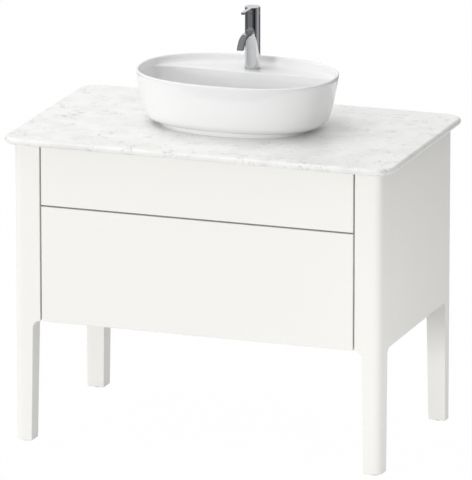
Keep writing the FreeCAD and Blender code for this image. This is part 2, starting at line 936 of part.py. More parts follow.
def mixer_body():
    """Mixer body with its spout, cartridge bore, inlet sockets and stud hole."""
    low = ledge_level + base_ring_thickness
    body = rod(mixer_radius, tap_point(low), Z_AXIS, lever_joint - low).fuse(mixer_spout()).removeSplitter()
    spout_top = ledge_level + spout_height
    front = tap_y - mixer_radius - 0.01
    root_edges = edges_where(
        body, lambda b: near(b.ZMin, spout_top) and near(b.ZMax, spout_top) and b.YMin > front
    )
    body = body.makeFillet(spout_root_round, root_edges)
    bore_depth = ring_recess + ring_height + cartridge_height
    bore_low = tap_point(lever_joint - bore_depth)
    body = body.cut(rod(cartridge_radius + cartridge_room, bore_low, Z_AXIS, bore_depth))
    for side in (-1, 1):
        inlet = tap_point(low) + Vector(side * inlet_spacing / 2, -inlet_offset, 0)
        body = body.cut(rod(inlet_radius, inlet, Z_AXIS, inlet_depth))
    stud_foot = tap_point(low) + Y_AXIS * stud_offset
    stud_hole = rod(stud_radius + thread_clearance, stud_foot, Z_AXIS, stud_engagement)
    mouth = mouth_centre()
    pocket = box(
        -aerator_width / 2, aerator_width / 2, mouth.y - aerator_depth / 2, mouth.y + aerator_depth / 2,
        mouth.z, mouth.z + aerator_height
    )
    return body.cut(stud_hole).cut(pocket)


def mixer_aerator():
    """Slotted aerator insert in the spout's mouth."""
    mouth = mouth_centre()
    half_x = aerator_width / 2 - press_clearance
    half_y = aerator_depth / 2 - press_clearance
    insert = box(-half_x, half_x, mouth.y - half_y, mouth.y + half_y, mouth.z, mouth.z + aerator_height)
    for across in (-1, 0, 1):
        for along in (-0.5, 0.5):
            place = mouth + Vector(across * aerator_hole_pitch, along * aerator_hole_pitch, 0)
            insert = insert.cut(rod(aerator_hole_radius, place, Z_AXIS, aerator_height))
    return insert


def mixer_base_ring():
    """Sealing ring between the mixer and the basin's ledge."""
    inner = base_ring_radius - base_ring_wall
    return tube(base_ring_radius, inner, tap_point(ledge_level), Z_AXIS, base_ring_thickness)


def mixer_fixing_stud():
    """Threaded stud from the mixer down through the ledge."""
    top = ledge_level + base_ring_thickness + stud_engagement
    return rod(stud_radius, tap_point(top) + Y_AXIS * stud_offset, -Z_AXIS, stud_length)


def clamp_level():
    """Lower face of the clamp plate under the ledge."""
    return ledge_level - ledge_thickness - clamp_thickness


def mixer_clamp_plate():
    """Horseshoe plate under the ledge, open at the front for the hoses."""
    plate = rod(clamp_radius, tap_point(clamp_level()), Z_AXIS, clamp_thickness)
    half = clamp_slot / 2
    slot_rear = tap_y + stud_offset - 2 * stud_radius
    slot = box(-half, half, tap_y - clamp_radius, slot_rear, clamp_level(), clamp_level() + clamp_thickness)
    hole = rod(
        stud_radius + slide_clearance, tap_point(clamp_level()) + Y_AXIS * stud_offset,
        Z_AXIS, clamp_thickness
    )
    return plate.cut(slot).cut(hole)


def mixer_clamp_nut():
    """Hexagonal nut on the stud under the clamp plate."""
    low = clamp_level() - clamp_nut_height
    nut = hexagon(clamp_nut_flats, low, clamp_nut_height, Vector(0, tap_y + stud_offset, 0))
    return nut.cut(
        rod(stud_radius + thread_clearance, tap_point(low) + Y_AXIS * stud_offset, Z_AXIS, clamp_nut_height)
    )


def cartridge_top():
    """Upper face of the cartridge, under its retaining ring."""
    return lever_joint - ring_recess - ring_height


def rotor_low():
    """Lower face of the rotor in the cartridge's pocket."""
    return lever_joint - rotor_recess - rotor_height


def mixer_cartridge():
    """Cartridge body with a pocket for the rotor."""
    top = cartridge_top()
    body = rod(cartridge_radius, tap_point(top - cartridge_height), Z_AXIS, cartridge_height)
    pocket_low = rotor_low() - running_clearance
    return body.cut(rod(rotor_radius + running_clearance, tap_point(pocket_low), Z_AXIS, top - pocket_low))


def cartridge_retaining_ring():
    """Threaded ring that holds the cartridge down in the body."""
    outer = cartridge_radius + cartridge_room - thread_clearance
    return tube(outer, ring_bore_radius, tap_point(cartridge_top()), Z_AXIS, ring_height)


def pin_bar(radius):
    """Bar on the lever's lift axis."""
    return rod(radius, Vector(-pin_length / 2, tap_y, pivot_level), X_AXIS, pin_length)


def mixer_rotor():
    """Slotted disc that turns in the cartridge and carries the lever's pivot pin."""
    top = rotor_low() + rotor_height
    body = rod(rotor_radius, tap_point(rotor_low()), Z_AXIS, rotor_height)
    half_x = spindle_side / 2 + slide_clearance
    half_y = rotor_slot_length / 2
    slot = box(-half_x, half_x, tap_y - half_y, tap_y + half_y, top - rotor_slot_depth, top)
    return body.cut(slot).cut(pin_bar(pin_radius + press_clearance))


def mixer_pivot_pin():
    """Pin through the rotor on which the spindle rocks."""
    return pin_bar(pin_radius)


def lever_spindle():
    """Square spindle from the pivot pin up into the lever cap."""
    half = spindle_side / 2
    low = pivot_level - spindle_tail
    bar = box(-half, half, tap_y - half, tap_y + half, low, lever_joint + spindle_rise)
    return bar.cut(pin_bar(pin_radius + running_clearance))


def grub_start():
    """Point where the grub screw bears on the spindle's rear face."""
    return Vector(0, tap_y + spindle_side / 2, lever_joint + grub_height)


def mixer_lever():
    """Lever cap with its flat tongue, relieved at the rear so that it can rock."""
    low = lever_joint + lever_gap
    top = lever_joint + lever_cap_height
    cap = rod(mixer_radius, tap_point(low), Z_AXIS, top - low)
    half = lever_width / 2
    tongue_low = top - lever_thickness
    tongue = box(-half, half, tap_y - lever_reach + half, tap_y, tongue_low, top)
    tip = rod(half, Vector(0, tap_y - lever_reach + half, tongue_low), Z_AXIS, lever_thickness)
    lever = cap.fuse(tongue).fuse(tip).removeSplitter()
    lever = lever.makeFillet(lever_edge_round, edges_where(lever, lambda b: near(b.ZMin, top)))
    reach = 2 * mixer_radius
    rise = reach * math.tan(math.radians(lever_lift + lever_bevel_margin))
    corners = [Vector(0, tap_y, low), Vector(0, tap_y + reach, low), Vector(0, tap_y + reach, low + rise)]
    relief = profile_in_yz(Part.makePolygon(corners + corners[:1]).Edges, -reach, 2 * reach)
    half_socket = spindle_side / 2 + press_clearance
    socket = box(
        -half_socket, half_socket, tap_y - half_socket, tap_y + half_socket,
        low, lever_joint + spindle_rise + press_clearance
    )
    screw_hole = rod(grub_radius + press_clearance, grub_start(), Y_AXIS, mixer_radius)
    return lever.cut(relief).cut(socket).cut(screw_hole)


def lever_grub_screw():
    """Grub screw that locks the lever cap on the spindle."""
    return rod(grub_radius, grub_start(), Y_AXIS, grub_length)


def drawer_pieces(name, low, height, front_low, front_top):
    """Pieces that both drawers have, by node name."""
    right = right_box_side(low, height)
    front = screw_drilled(drawer_front(front_low, front_top), low, height)
    return {
        f"{name}_drawer_front": front,
        f"{name}_drawer_subfront": sub_front(low, height),
        f"{name}_drawer_right_side": right,
        f"{name}_drawer_left_side": left_of(right),
        f"{name}_front_screws": front_screws(low, height),
        f"{name}_runner_cabinet_members": runner_pair(cabinet_member, low),
        f"{name}_runner_middle_members": runner_pair(middle_member, low),
        f"{name}_runner_drawer_members": runner_pair(drawer_member, low),
    }


def all_pieces():
    """Every piece of the unit, by node name."""
    post = front_right_post()
    side = right_side_panel()
    back = upper_right_back()
    recess_side = upper_right_recess_side()
    pieces = {
        "front_right_post": post,
        "front_left_post": left_of(post),
        "rear_right_post": drilled(rear_of(post)),
        "rear_left_post": drilled(left_of(rear_of(post))),
        "right_side_panel": side,
        "left_side_panel": left_of(side),
        "upper_drawer_backs": Part.makeCompound([back, left_of(back)]),
        "upper_drawer_recess_sides": Part.makeCompound([recess_side, left_of(recess_side)]),
        "upper_drawer_recess_front": upper_recess_front(),
        "upper_drawer_bottom": upper_bottom(),
        "lower_drawer_back": lower_back(),
        "lower_drawer_bottom": lower_bottom(),
    }
    upper = (upper_box_low, upper_box_height, upper_front_low, upper_front_low + upper_front_height)
    lower = (lower_box_low, lower_box_height, body_underside, body_underside + lower_front_height)
    pieces.update(drawer_pieces("upper", *upper))
    pieces.update(drawer_pieces("lower", *lower))
    makers = (
        bottom_panel, front_top_rail, rear_top_rail, rear_bottom_rail, frame_dowels, leg_glides, wall_spacers,
        stone_top, basin_seal, basin, waste_cover, waste_body, waste_seals, waste_lock_nut, trap_dip_tube,
        trap_head, trap_cup, trap_union_nuts, trap_outlet_pipe, mixer_body, mixer_base_ring, mixer_aerator,
        mixer_cartridge, cartridge_retaining_ring, mixer_rotor, mixer_pivot_pin, lever_spindle, mixer_lever,
        lever_grub_screw, mixer_fixing_stud, mixer_clamp_plate, mixer_clamp_nut,
    )
    for maker in makers:
        pieces[maker.__name__] = maker()
    return pieces


os.makedirs("parts", exist_ok=True)
for node, shape in all_pieces().items():
    shape.exportStep(f"parts/{node}.step")
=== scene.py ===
"""Looks of the vanity unit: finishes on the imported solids, fine fittings and the studio."""

import math

import bmesh
import bpy
from mathutils import Matrix, Vector


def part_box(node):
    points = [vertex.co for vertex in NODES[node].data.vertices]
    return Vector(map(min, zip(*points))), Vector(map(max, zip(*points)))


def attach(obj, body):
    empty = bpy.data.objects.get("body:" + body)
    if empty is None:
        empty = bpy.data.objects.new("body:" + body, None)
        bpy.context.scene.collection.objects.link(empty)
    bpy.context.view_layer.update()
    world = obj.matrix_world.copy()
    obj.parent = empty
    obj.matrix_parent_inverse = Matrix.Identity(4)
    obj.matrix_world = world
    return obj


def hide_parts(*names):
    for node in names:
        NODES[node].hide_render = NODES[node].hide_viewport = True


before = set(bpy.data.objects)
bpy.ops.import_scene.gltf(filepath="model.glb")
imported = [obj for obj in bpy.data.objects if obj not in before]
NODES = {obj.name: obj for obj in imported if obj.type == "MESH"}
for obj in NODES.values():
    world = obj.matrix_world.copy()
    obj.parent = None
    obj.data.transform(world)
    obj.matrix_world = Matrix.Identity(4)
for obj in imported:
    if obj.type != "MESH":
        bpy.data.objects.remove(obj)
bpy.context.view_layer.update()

bl_info = {
    "name": "Vanity unit",
    "version": (1, 0, 0),
    "blender": (4, 5, 0),
    "location": "View3D > Sidebar > Vanity",
    "description": "Finishes, fittings and studio for a vanity unit with basin and mixer",
    "category": "Object",
}

MM = 0.001

# Skins are smooth where neighbouring faces meet at less than this
CREASE = math.radians(40)


class VanityColours(bpy.types.PropertyGroup):
    """Colours of the unit's finishes, as sRGB hex values."""

    paint: bpy.props.StringProperty(
        name="Paint", description="Satin white lacquer of the posts, panels and fronts", default="#F2F1ED"
    )
    board: bpy.props.StringProperty(
        name="Board", description="White melamine facing of the boards inside", default="#EDEDEA"
    )
    stone: bpy.props.StringProperty(
        name="Stone", description="Pale ground of the honed stone", default="#EFEFED"
    )
    stone_fleck: bpy.props.StringProperty(
        name="Stone fleck", description="Grey flecks of the honed stone", default="#CACAC8"
    )
    glaze: bpy.props.StringProperty(
        name="Glaze", description="White glaze of the basin", default="#EDEDED"
    )
    chrome: bpy.props.StringProperty(
        name="Chrome", description="Reflected tint of the chrome plate", default="#E3E4E6"
    )


class VanitySizes(bpy.types.PropertyGroup):
    """Where the camera stands and what it looks at."""

    view_azimuth: bpy.props.FloatProperty(
        name="View azimuth", description="Camera's turn to the right of the front",
        default=math.radians(19.517), subtype="ANGLE"
    )
    view_elevation: bpy.props.FloatProperty(
        name="View elevation", description="Camera's height above the horizon",
        default=math.radians(14.816), subtype="ANGLE"
    )
    view_distance: bpy.props.FloatProperty(
        name="View distance", description="Distance from the camera to the middle of the view",
        default=18.724, unit="LENGTH"
    )
    view_lens: bpy.props.FloatProperty(
        name="Lens", description="Focal length for a 36 mm high sensor, in millimetres", default=577.7
    )
    view_target: bpy.props.FloatVectorProperty(
        name="View target", description="Point in the middle of the view",
        default=(0.0053, 0.0, 0.4784), subtype="XYZ", unit="LENGTH"
    )


def linear(hex_code):
    """Linear RGBA from an sRGB hex value."""
    channels = [int(hex_code[start:start + 2], 16) / 255 for start in (1, 3, 5)]
    return (*(c / 12.92 if c <= 0.04045 else ((c + 0.055) / 1.055) ** 2.4 for c in channels), 1.0)


def add_node(tree, kind, inputs=None, **settings):
    """Node with its settings, its socket values and links from other nodes' sockets."""
    made = tree.nodes.new(kind)
    for name, value in settings.items():
        setattr(made, name, value)
    for socket, value in (inputs or {}).items():
        if isinstance(value, bpy.types.NodeSocket):
            tree.links.new(value, made.inputs[socket])
        else:
            made.inputs[socket].default_value = value
    return made


def per_metre(millimetres):
    """Texture scale whose features are about this many millimetres wide."""
    return 1000.0 / millimetres


def new_material(name):
    """Empty node material with its output, and the tree to build in."""
    material = bpy.data.materials.new(name)
    material.use_nodes = True
    material.node_tree.nodes.clear()
    return material, material.node_tree


def finish_material(material, tree, inputs):
    """Principled surface with these inputs as the material's output."""
    surface = add_node(tree, "ShaderNodeBsdfPrincipled", inputs)
    add_node(tree, "ShaderNodeOutputMaterial", {"Surface": surface.outputs["BSDF"]})
    return material


def satin_lacquer(hex_code):
    """Sprayed satin lacquer on wood: even colour, soft sheen, a faint orange-peel surface."""
    material, tree = new_material("satin_lacquer_on_wood")
    place = add_node(tree, "ShaderNodeTexCoord").outputs["Object"]
    clouds = add_node(tree, "ShaderNodeTexNoise", {"Vector": place, "Scale": per_metre(180), "Detail": 2.0})
    tone = linear(hex_code)
    shade = tuple(channel * 0.985 for channel in tone[:3]) + (1.0,)
    colour = add_node(
        tree, "ShaderNodeMix", {"Factor": clouds.outputs["Fac"], "A": tone, "B": shade}, data_type="RGBA"
    )
    # Orange peel is about 2 mm wide; it is drawn at 4 mm so that close views show it
    peel = add_node(tree, "ShaderNodeTexNoise", {"Vector": place, "Scale": per_metre(4), "Detail": 1.0})
    rough = add_node(
        tree, "ShaderNodeMapRange", {"Value": peel.outputs["Fac"], "To Min": 0.36, "To Max": 0.44}
    )
    bump = add_node(
        tree, "ShaderNodeBump", {"Height": peel.outputs["Fac"], "Strength": 0.05, "Distance": 0.0002}
    )
    return finish_material(material, tree, {
        "Base Color": colour.outputs["Result"], "Roughness": rough.outputs["Result"],
        "IOR": 1.48, "Normal": bump.outputs["Normal"],
    })


def melamine_board(hex_code):
    """Melamine-faced board: a flat white with a fine pressed pore."""
    material, tree = new_material("melamine_faced_board")
    place = add_node(tree, "ShaderNodeTexCoord").outputs["Object"]
    # Pores are about 3 mm wide and 14 mm long
    grain = add_node(
        tree, "ShaderNodeMapping",
        {"Vector": place, "Scale": (per_metre(3), per_metre(14), per_metre(3))}
    )
    pores = add_node(
        tree, "ShaderNodeTexNoise", {"Vector": grain.outputs["Vector"], "Scale": 1.0, "Detail": 2.0}
    )
    tone = linear(hex_code)
    shade = tuple(channel * 0.95 for channel in tone[:3]) + (1.0,)
    colour = add_node(
        tree, "ShaderNodeMix", {"Factor": pores.outputs["Fac"], "A": tone, "B": shade}, data_type="RGBA"
    )
    bump = add_node(
        tree, "ShaderNodeBump", {"Height": pores.outputs["Fac"], "Strength": 0.12, "Distance": 0.0003}
    )
    return finish_material(material, tree, {
        "Base Color": colour.outputs["Result"], "Roughness": 0.48,
        "IOR": 1.5, "Normal": bump.outputs["Normal"],
    })


def honed_stone(ground_hex, fleck_hex):
    """Honed pale stone: soft grey clouds and short flecks under a smooth, slightly shiny face."""
    material, tree = new_material("honed_pale_stone")
    place = add_node(tree, "ShaderNodeTexCoord").outputs["Object"]
    # Soft clouds the size of a palm, and clumps of small flecks inside some of them
    clouds = add_node(
        tree, "ShaderNodeTexNoise",
        {"Vector": place, "Scale": per_metre(70), "Detail": 3.0, "Roughness": 0.55}
    )
    clumps = add_node(
        tree, "ShaderNodeTexNoise",
        {"Vector": place, "Scale": per_metre(48), "Detail": 2.0, "Roughness": 0.5}
    )
    specks = add_node(
        tree, "ShaderNodeTexNoise",
        {"Vector": place, "Scale": per_metre(13), "Detail": 5.0, "Roughness": 0.62, "Distortion": 0.9}
    )
    cloud_share = add_node(
        tree, "ShaderNodeMapRange",
        {"Value": clouds.outputs["Fac"], "From Min": 0.4, "From Max": 0.7, "To Min": 0.0, "To Max": 0.3}
    )
    clump_share = add_node(
        tree, "ShaderNodeMapRange",
        {"Value": clumps.outputs["Fac"], "From Min": 0.47, "From Max": 0.62, "To Min": 0.12, "To Max": 1.0}
    )
    speck_share = add_node(
        tree, "ShaderNodeMapRange",
        {"Value": specks.outputs["Fac"], "From Min": 0.5, "From Max": 0.68, "To Min": 0.0, "To Max": 1.0}
    )
    fleck_share = add_node(
        tree, "ShaderNodeMath",
        {0: clump_share.outputs["Result"], 1: speck_share.outputs["Result"]}, operation="MULTIPLY"
    )
    share = add_node(
        tree, "ShaderNodeMath",
        {0: cloud_share.outputs["Result"], 1: fleck_share.outputs["Value"]}, operation="ADD", use_clamp=True
    )
    colour = add_node(
        tree, "ShaderNodeMix",
        {"Factor": share.outputs["Value"], "A": linear(ground_hex), "B": linear(fleck_hex)}, data_type="RGBA"
    )
    grit = add_node(tree, "ShaderNodeTexNoise", {"Vector": place, "Scale": per_metre(1.5), "Detail": 2.0})
    rough = add_node(
        tree, "ShaderNodeMapRange", {"Value": grit.outputs["Fac"], "To Min": 0.26, "To Max": 0.36}
    )
    bump = add_node(
        tree, "ShaderNodeBump", {"Height": grit.outputs["Fac"], "Strength": 0.04, "Distance": 0.0002}
    )
    return finish_material(material, tree, {
        "Base Color": colour.outputs["Result"], "Roughness": rough.outputs["Result"],
        "IOR": 1.5, "Normal": bump.outputs["Normal"],
    })


def kiln_glaze(hex_code):
    """White glaze on fired clay: a clear glassy face that waves a little, as it ran in the kiln."""
    material, tree = new_material("white_kiln_glaze")
    place = add_node(tree, "ShaderNodeTexCoord").outputs["Object"]
    waves = add_node(tree, "ShaderNodeTexNoise", {"Vector": place, "Scale": per_metre(35), "Detail": 1.0})
    tone = linear(hex_code)
    shade = tuple(channel * 0.985 for channel in tone[:3]) + (1.0,)
    colour = add_node(
        tree, "ShaderNodeMix", {"Factor": waves.outputs["Fac"], "A": tone, "B": shade}, data_type="RGBA"
    )
    bump = add_node(
        tree, "ShaderNodeBump", {"Height": waves.outputs["Fac"], "Strength": 0.03, "Distance": 0.001}
    )
    return finish_material(material, tree, {
        "Base Color": colour.outputs["Result"], "Roughness": 0.08,
        "IOR": 1.7, "Normal": bump.outputs["Normal"],
    })


def chrome_plate(hex_code):
    """Polished chrome plate on brass: a cool mirror with a trace of polishing haze."""
    material, tree = new_material("polished_chrome_plate")
    place = add_node(tree, "ShaderNodeTexCoord").outputs["Object"]
    haze = add_node(tree, "ShaderNodeTexNoise", {"Vector": place, "Scale": per_metre(12), "Detail": 3.0})
    rough = add_node(
        tree, "ShaderNodeMapRange", {"Value": haze.outputs["Fac"], "To Min": 0.03, "To Max": 0.06}
    )
    return finish_material(material, tree, {
        "Base Color": linear(hex_code), "Metallic": 1.0, "Roughness": rough.outputs["Result"],
    })


def zinc_plate():
    """Bright zinc plate on rolled steel: a grey metal with a crystalline blotch."""
    material, tree = new_material("zinc_plated_steel")
    place = add_node(tree, "ShaderNodeTexCoord").outputs["Object"]
    spangle = add_node(tree, "ShaderNodeTexVoronoi", {"Vector": place, "Scale": per_metre(6)})
    colour = add_node(
        tree, "ShaderNodeMix",
        {"Factor": spangle.outputs["Distance"], "A": linear("#C6C9CB"), "B": linear("#ADB1B4")},
        data_type="RGBA"
    )
    rough = add_node(
        tree, "ShaderNodeMapRange", {"Value": spangle.outputs["Distance"], "To Min": 0.26, "To Max": 0.4}
    )
    return finish_material(material, tree, {
        "Base Color": colour.outputs["Result"], "Metallic": 1.0, "Roughness": rough.outputs["Result"],
    })


def turned_brass():
    """Turned brass: warm metal with fine lathe rings."""
    material, tree = new_material("turned_brass")
    place = add_node(tree, "ShaderNodeTexCoord").outputs["Object"]
    rings = add_node(
        tree, "ShaderNodeTexWave",
        {"Vector": place, "Scale": per_metre(2), "Distortion": 0.2}, bands_direction="Z"
    )
    rough = add_node(
        tree, "ShaderNodeMapRange", {"Value": rings.outputs["Fac"], "To Min": 0.2, "To Max": 0.32}
    )
    return finish_material(material, tree, {
        "Base Color": linear("#C9A45C"), "Metallic": 1.0, "Roughness": rough.outputs["Result"],
    })


def moulded_plastic(name, hex_code, roughness):
    """Injection-moulded plastic: even colour with a finely spark-eroded skin."""
    material, tree = new_material(name)
    place = add_node(tree, "ShaderNodeTexCoord").outputs["Object"]
    skin = add_node(tree, "ShaderNodeTexNoise", {"Vector": place, "Scale": per_metre(1.2), "Detail": 1.0})
    rough = add_node(
        tree, "ShaderNodeMapRange",
        {"Value": skin.outputs["Fac"], "To Min": roughness - 0.05, "To Max": roughness + 0.05}
    )
    bump = add_node(
        tree, "ShaderNodeBump", {"Height": skin.outputs["Fac"], "Strength": 0.05, "Distance": 0.0002}
    )
    return finish_material(material, tree, {
        "Base Color": linear(hex_code), "Roughness": rough.outputs["Result"],
        "IOR": 1.49, "Normal": bump.outputs["Normal"],
    })


def bare_beech():
    """Bare beech dowels: warm wood with short dark flecks along the grain."""
    material, tree = new_material("bare_beech")
    place = add_node(tree, "ShaderNodeTexCoord").outputs["Object"]
    flecks = add_node(tree, "ShaderNodeTexNoise", {"Vector": place, "Scale": per_metre(3), "Detail": 4.0})
    colour = add_node(
        tree, "ShaderNodeMix",
        {"Factor": flecks.outputs["Fac"], "A": linear("#D9B48A"), "B": linear("#BC9266")}, data_type="RGBA"
    )
    return finish_material(material, tree, {
        "Base Color": colour.outputs["Result"], "Roughness": 0.6, "IOR": 1.5,
    })


def dress(node_names, material):
    """Gives CAD nodes one finish."""
    for name in node_names:
        mesh = NODES[name].data
        mesh.materials.clear()
        mesh.materials.append(material)


def new_piece(name, mesh, material, body):
    """Adds a mesh as a piece that rides on a body, with the finish it is given."""
    mesh.materials.append(material)
    piece = bpy.data.objects.new(name, mesh)
    bpy.context.scene.collection.objects.link(piece)
    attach(piece, body)
    return piece


def ring_mesh(name, rings):
    """Closed skin through rings of points, the last ring joined to the first."""
    form = bmesh.new()
    rows = [[form.verts.new(point) for point in ring] for ring in rings]
    count = len(rows[0])
    for row, upper in zip(rows, rows[1:] + rows[:1]):
        for step in range(count):
            after = (step + 1) % count
            form.faces.new((row[step], row[after], upper[after], upper[step]))
    bmesh.ops.recalc_face_normals(form, faces=form.faces)
    for face in form.faces:
        face.smooth = True
    mesh = bpy.data.meshes.new(name)
    form.to_mesh(mesh)
    form.free()
    mesh.set_sharp_from_angle(angle=CREASE)
    return mesh


def quarter_turn(count):
    """Angles of a quarter turn in equal steps, from the first step to the last."""
    return [math.pi / 2 * turn / count for turn in range(1, count + 1)]


def stations(start, end, count):
    """Values in equal steps from one value to another, without the first."""
    return [start + (end - start) * turn / count for turn in range(1, count + 1)]


class BasinForm:
    """Soft form of the basin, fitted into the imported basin's own box."""

    # Outline: points round the oval, and how square it is (2 is an ellipse)
    steps = 144
    power = 2.31
    # Outer wall: drawn in this far at half its depth and at its foot, then rounded under
    inset_half = 10.6 * MM
    inset_foot = 27.0 * MM
    foot_round = 30.0 * MM
    wall = 7.0 * MM
    wall_steps = 10
    # Rim, and the inner wall between it and the ledge
    rim_round = 2.5 * MM
    rim_steps = 4
    inner_steps = 2
    # Foot ring: narrower still at the basin's two ends, stepped back under the wall's round
    foot_height = 8.0 * MM
    foot_inset = 39.0 * MM
    foot_end_inset = 24.0 * MM
    foot_width = 10.0 * MM
    foot_setback = 1.0 * MM
    foot_round_steps = 8
    bead = 1.5 * MM
    bead_swell = 0.7
    # Bowl's floor, with the drain's seat in it
    floor_thickness = 12.0 * MM
    floor_round = 26.0 * MM
    floor_steps = 7
    floor_shares = (0.35, 0.7, 1.0)
    under_shares = (0.4, 0.6, 0.8, 1.0)
    bowl_steps = 8
    seat_radius = 33.0 * MM
    seat_depth = 5.0 * MM
    drain_radius = 23.0 * MM
    # Tap ledge across the rear, with a hollow round behind it and a soft front edge
    ledge_drop = 18.0 * MM
    ledge_thickness = 12.0 * MM
    ledge_edge = 68.0 * MM
    ledge_lean = 20.0 * MM
    ledge_fall = 0.4 * MM
    ledge_hollow_round = 13.0 * MM
    ledge_hollow_rise = 4.0 * MM
    ledge_edge_round = 6.0 * MM
    ledge_edge_fall = 2.0 * MM
    ledge_round_share = 0.45
    ledge_round_steps = 5
    ledge_steps = 3
    ledge_corner_power = 8.0
    # Hole for the tap, cut through the ledge alone, and the hollow under the ledge
    tap_radius = 17.5 * MM
    tap_cut_share = 1.6
    hollow_margin = 2.0 * MM

    def __init__(self):
        low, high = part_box("basin")
        self.middle = (low + high) / 2
        self.half_x = (high.x - low.x) / 2
        self.half_y = (high.y - low.y) / 2
        self.foot = low.z
        self.rim = high.z
        self.under = self.foot + self.foot_height
        self.floor = self.under + self.floor_thickness
        self.ledge = self.rim - self.ledge_drop
        waste_low, waste_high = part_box("waste_body")
        self.drain = (waste_low + waste_high) / 2

    def wall_inset(self, level):
        """How far the outside is drawn in from the rim's outline at a level."""
        depth = (self.rim - level) / (self.rim - self.under)
        lean = 4 * self.inset_half - self.inset_foot
        return lean * depth + (self.inset_foot - lean) * depth * depth

    def point(self, step, inset, level, rear=None, end_inset=0.0):
        """Point of an oval drawn in by an inset, cut soft and straight at the rear if asked."""
        angle = math.tau * step / self.steps
        across, along = math.cos(angle), math.sin(angle)
        half_x, half_y = self.half_x - inset - end_inset, self.half_y - inset
        size = (abs(across) ** self.power + abs(along) ** self.power) ** (1 / self.power)
        if rear is not None:
            corner = self.ledge_corner_power
            cut = max(along, 0.0) * half_y / rear
            size = (size ** corner + cut ** corner) ** (1 / corner)
        return Vector((
            self.middle.x + half_x * across / size, self.middle.y + half_y * along / size, level
        ))

    def foot_point(self, step, inset, level):
        """Point of the foot ring's oval, which is drawn in further at the basin's two ends."""
        return self.point(step, self.foot_inset + inset, level, end_inset=self.foot_end_inset)

    def inside(self, step, level):
        """Point of the inner wall above the ledge."""
        return self.point(step, self.wall_inset(level) + self.wall, level)

    def bowl(self, step, level):
        """Point of the bowl's wall below the ledge, whose rear leans with the ledge's front."""
        fall = (self.ledge - level) / (self.ledge - self.floor)
        rear = self.ledge_edge - self.ledge_lean * fall
        return self.point(step, self.wall_inset(level) + self.wall, level, rear)

    def inward(self, point, distance, level):
        """Point moved toward the basin's middle and set to a level."""
        flat = Vector((self.middle.x - point.x, self.middle.y - point.y, 0.0))
        moved = point + flat.normalized() * distance
        moved.z = level
        return moved

    def circle(self, point, radius, level):
        """Point on a circle round the drain, on the side of another point."""
        away = Vector((point.x - self.drain.x, point.y - self.drain.y, 0.0)).normalized()
        return Vector((self.drain.x, self.drain.y, level)) + away * radius

    def outside_line(self, step):
        """Points from the foot up the outside and over the rim."""
        rise = self.foot_round / 2
        near_foot = self.wall_inset(self.under + rise)
        lean = math.atan((self.wall_inset(self.under) - near_foot) / rise)
        start = self.wall_inset(self.under) + self.foot_round * math.tan((math.pi / 2 - lean) / 2)
        first = -math.acos((start - self.foot_inset + self.foot_setback) / self.foot_round)
        foot_top = self.under + self.foot_round * (1 + math.sin(first))
        line = [self.foot_point(step, 0.0, self.foot), self.foot_point(step, 0.0, foot_top)]
        for angle in [first, *stations(first, -lean, self.foot_round_steps)]:
            level = self.under + self.foot_round * (1 + math.sin(angle))
            line.append(self.point(step, start - self.foot_round * math.cos(angle), level))
        high = self.rim - self.rim_round
        for level in stations(line[-1].z, high, self.wall_steps):
            line.append(self.point(step, self.wall_inset(level), level))
        for angle in quarter_turn(self.rim_steps):
            inset = self.wall_inset(high) + self.rim_round * (1 - math.cos(angle))
            line.append(self.point(step, inset, high + self.rim_round * math.sin(angle)))
        inner = self.wall_inset(self.rim) + self.wall
        for angle in [0.0, *quarter_turn(self.rim_steps)]:
            inset = inner - self.rim_round * (1 - math.sin(angle))
            line.append(self.point(step, inset, high + self.rim_round * math.cos(angle)))
        return line

    def inside_line(self, step):
        """Points from the rim down over the tap ledge to the drain's seat."""
        at_ledge = self.inside(step, self.ledge)
        width = (at_ledge - self.bowl(step, self.ledge)).length
        # Both rounds shrink where the ledge runs out into the side walls
        hollow = min(self.ledge_hollow_round, self.ledge_round_share * width)
        edge = min(self.ledge_edge_round, self.ledge_round_share * width)
        hollow_rise = max(hollow, self.ledge_hollow_rise)
        edge_fall = max(edge, self.ledge_edge_fall)
        line = []
        for level in stations(self.rim - self.rim_round, self.ledge + hollow_rise, self.inner_steps):
            line.append(self.inside(step, level))
        for angle in quarter_turn(self.ledge_round_steps):
            level = self.ledge + hollow_rise * (1 - math.sin(angle))
            line.append(self.inward(self.inside(step, level), hollow * (1 - math.cos(angle)), level))
        for share in stations(0.0, 1.0, self.ledge_steps):
            reach = hollow + (width - edge - hollow) * share
            line.append(self.inward(at_ledge, reach, self.ledge - self.ledge_fall * share))
        for angle in quarter_turn(self.ledge_round_steps):
            level = self.ledge - self.ledge_fall - edge_fall * (1 - math.cos(angle))
            line.append(self.inward(at_ledge, width - edge * (1 - math.sin(angle)), level))
        for level in stations(line[-1].z, self.floor + self.floor_round, self.bowl_steps):
            line.append(self.bowl(step, level))
        for angle in quarter_turn(self.floor_steps):
            level = self.floor + self.floor_round * (1 - math.sin(angle))
            reach = self.floor_round * (1 - math.cos(angle))
            line.append(self.inward(self.bowl(step, level), reach, level))
        last = line[-1]
        seat = self.circle(last, self.seat_radius, self.floor)
        line += [last.lerp(seat, share) for share in self.floor_shares]
        seat_floor = self.floor - self.seat_depth
        line.append(self.circle(last, self.seat_radius, seat_floor))
        line.append(self.circle(last, self.drain_radius, seat_floor))
        line.append(self.circle(last, self.drain_radius, self.under))
        return line

